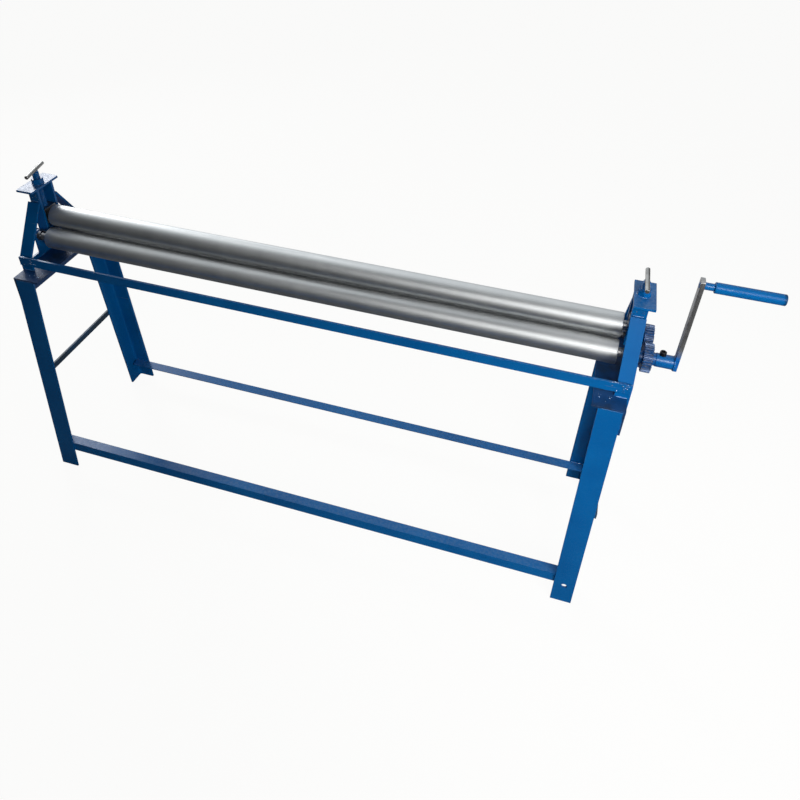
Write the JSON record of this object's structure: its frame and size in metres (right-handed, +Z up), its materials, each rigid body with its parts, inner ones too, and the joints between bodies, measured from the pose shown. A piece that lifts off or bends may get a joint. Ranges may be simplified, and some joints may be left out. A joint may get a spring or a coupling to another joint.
{
  "type": "slip roll machine",
  "caption": "Hand-cranked three-roll bender for sheet metal on a splayed angle-steel stand, with geared lower rollers and a screw-set top roller.",
  "frame": {"origin": "on the floor under the middle of the stand, halfway between the outer faces of the left and right legs and between the front and rear feet", "axes": "+X along the rollers towards the crank, -Y to the front where the operator stands, +Z up; stored with the crank straight up and a 4 mm gap between the top roller and the lower ones"},
  "size_m": [1.636, 0.38, 0.84],
  "materials": {
    "blue_paint": "gloss blue paint over steel, worn bare at edges",
    "roller_steel": "turned and polished steel tube",
    "bare_steel": "bare drawn or turned steel",
    "black_steel": "black oxide cap screws"
  },
  "bodies": {
    "frame": {"left_front_leg": "blue_paint", "left_rear_leg": "blue_paint", "right_front_leg": "blue_paint", "right_rear_leg": "blue_paint", "left_crosspiece": "blue_paint", "right_crosspiece": "blue_paint", "left_stretcher": "blue_paint", "right_stretcher": "blue_paint", "front_rail": "blue_paint", "rear_rail": "blue_paint", "front_tie_bar": "blue_paint", "rear_tie_bar": "blue_paint", "left_side_plate": "blue_paint", "right_side_plate": "blue_paint", "left_front_brace": "blue_paint", "left_rear_brace": "blue_paint", "right_front_brace": "blue_paint", "right_rear_brace": "blue_paint", "left_guides": "blue_paint", "right_guides": "blue_paint", "left_cap": "blue_paint", "right_cap": "blue_paint", "screw_nuts": "blue_paint", "lower_bushes": "bare_steel", "idler_stud": "bare_steel", "idler_stud_nut": "bare_steel", "idler_washer": "bare_steel", "idler_screw": "black_steel"},
    "idler": {"idler_gear": "blue_paint"},
    "carriage": {"left_block": "bare_steel", "right_block": "bare_steel", "retaining_pins": "bare_steel"},
    "left_adjuster": {"left_screw": "blue_paint", "left_tee_bar": "bare_steel"},
    "right_adjuster": {"right_screw": "blue_paint", "right_tee_bar": "bare_steel"},
    "top_roll": {"top_roller": "roller_steel", "top_journals": "bare_steel"},
    "front_roll": {"front_roller": "roller_steel", "front_left_journal": "bare_steel", "front_drive_journal": "bare_steel", "front_gear": "blue_paint", "front_gear_key": "bare_steel", "front_collar": "bare_steel", "front_collar_screw": "black_steel", "crank_socket": "blue_paint", "clamp_screw": "black_steel", "crank_arm": "bare_steel", "grip_spindle": "blue_paint", "grip_washer": "bare_steel", "grip_nut": "bare_steel"},
    "grip": {"grip_sleeve": "blue_paint"},
    "rear_roll": {"rear_roller": "roller_steel", "rear_left_journal": "bare_steel", "rear_drive_journal": "bare_steel", "rear_gear": "blue_paint", "rear_gear_key": "bare_steel", "rear_collar": "bare_steel", "rear_collar_screw": "black_steel"}
  },
  "joints": [
    {"name": "front_spin", "type": "hinge", "parent": "frame", "child": "front_roll", "pos_m": [0, -0.031, 0.638], "axis": [1, 0, 0], "continuous": true},
    {"name": "rear_spin", "type": "hinge", "parent": "frame", "child": "rear_roll", "pos_m": [0, 0.031, 0.638], "axis": [1, 0, 0], "continuous": true},
    {"name": "idler_spin", "type": "hinge", "parent": "frame", "child": "idler", "pos_m": [0.72, 0, 0.60677], "axis": [1, 0, 0], "continuous": true},
    {"name": "top_slide", "type": "slide", "parent": "frame", "child": "carriage", "axis": [0, 0, 1], "range_m": [-0.004, 0.018]},
    {"name": "left_screw_turn", "type": "hinge", "parent": "carriage", "child": "left_adjuster", "pos_m": [-0.686, 0, 0.75], "axis": [0, 0, 1], "range_deg": [-725, 3245]},
    {"name": "right_screw_turn", "type": "hinge", "parent": "carriage", "child": "right_adjuster", "pos_m": [0.686, 0, 0.75], "axis": [0, 0, 1], "range_deg": [-725, 3245]},
    {"name": "top_roll_spin", "type": "hinge", "parent": "carriage", "child": "top_roll", "pos_m": [0, 0, 0.68343], "axis": [1, 0, 0], "continuous": true},
    {"name": "grip_spin", "type": "hinge", "parent": "front_roll", "child": "grip", "pos_m": [0.8575, -0.031, 0.828], "axis": [1, 0, 0], "continuous": true}
  ],
  "couplings": [
    {"joint": "rear_spin", "follows": "front_spin", "ratio": 1},
    {"joint": "idler_spin", "follows": "front_spin", "ratio": -1.75},
    {"joint": "left_screw_turn", "follows": "top_slide", "rad_per_m": 3141.6},
    {"joint": "right_screw_turn", "follows": "top_slide", "rad_per_m": 3141.6}
  ]
}
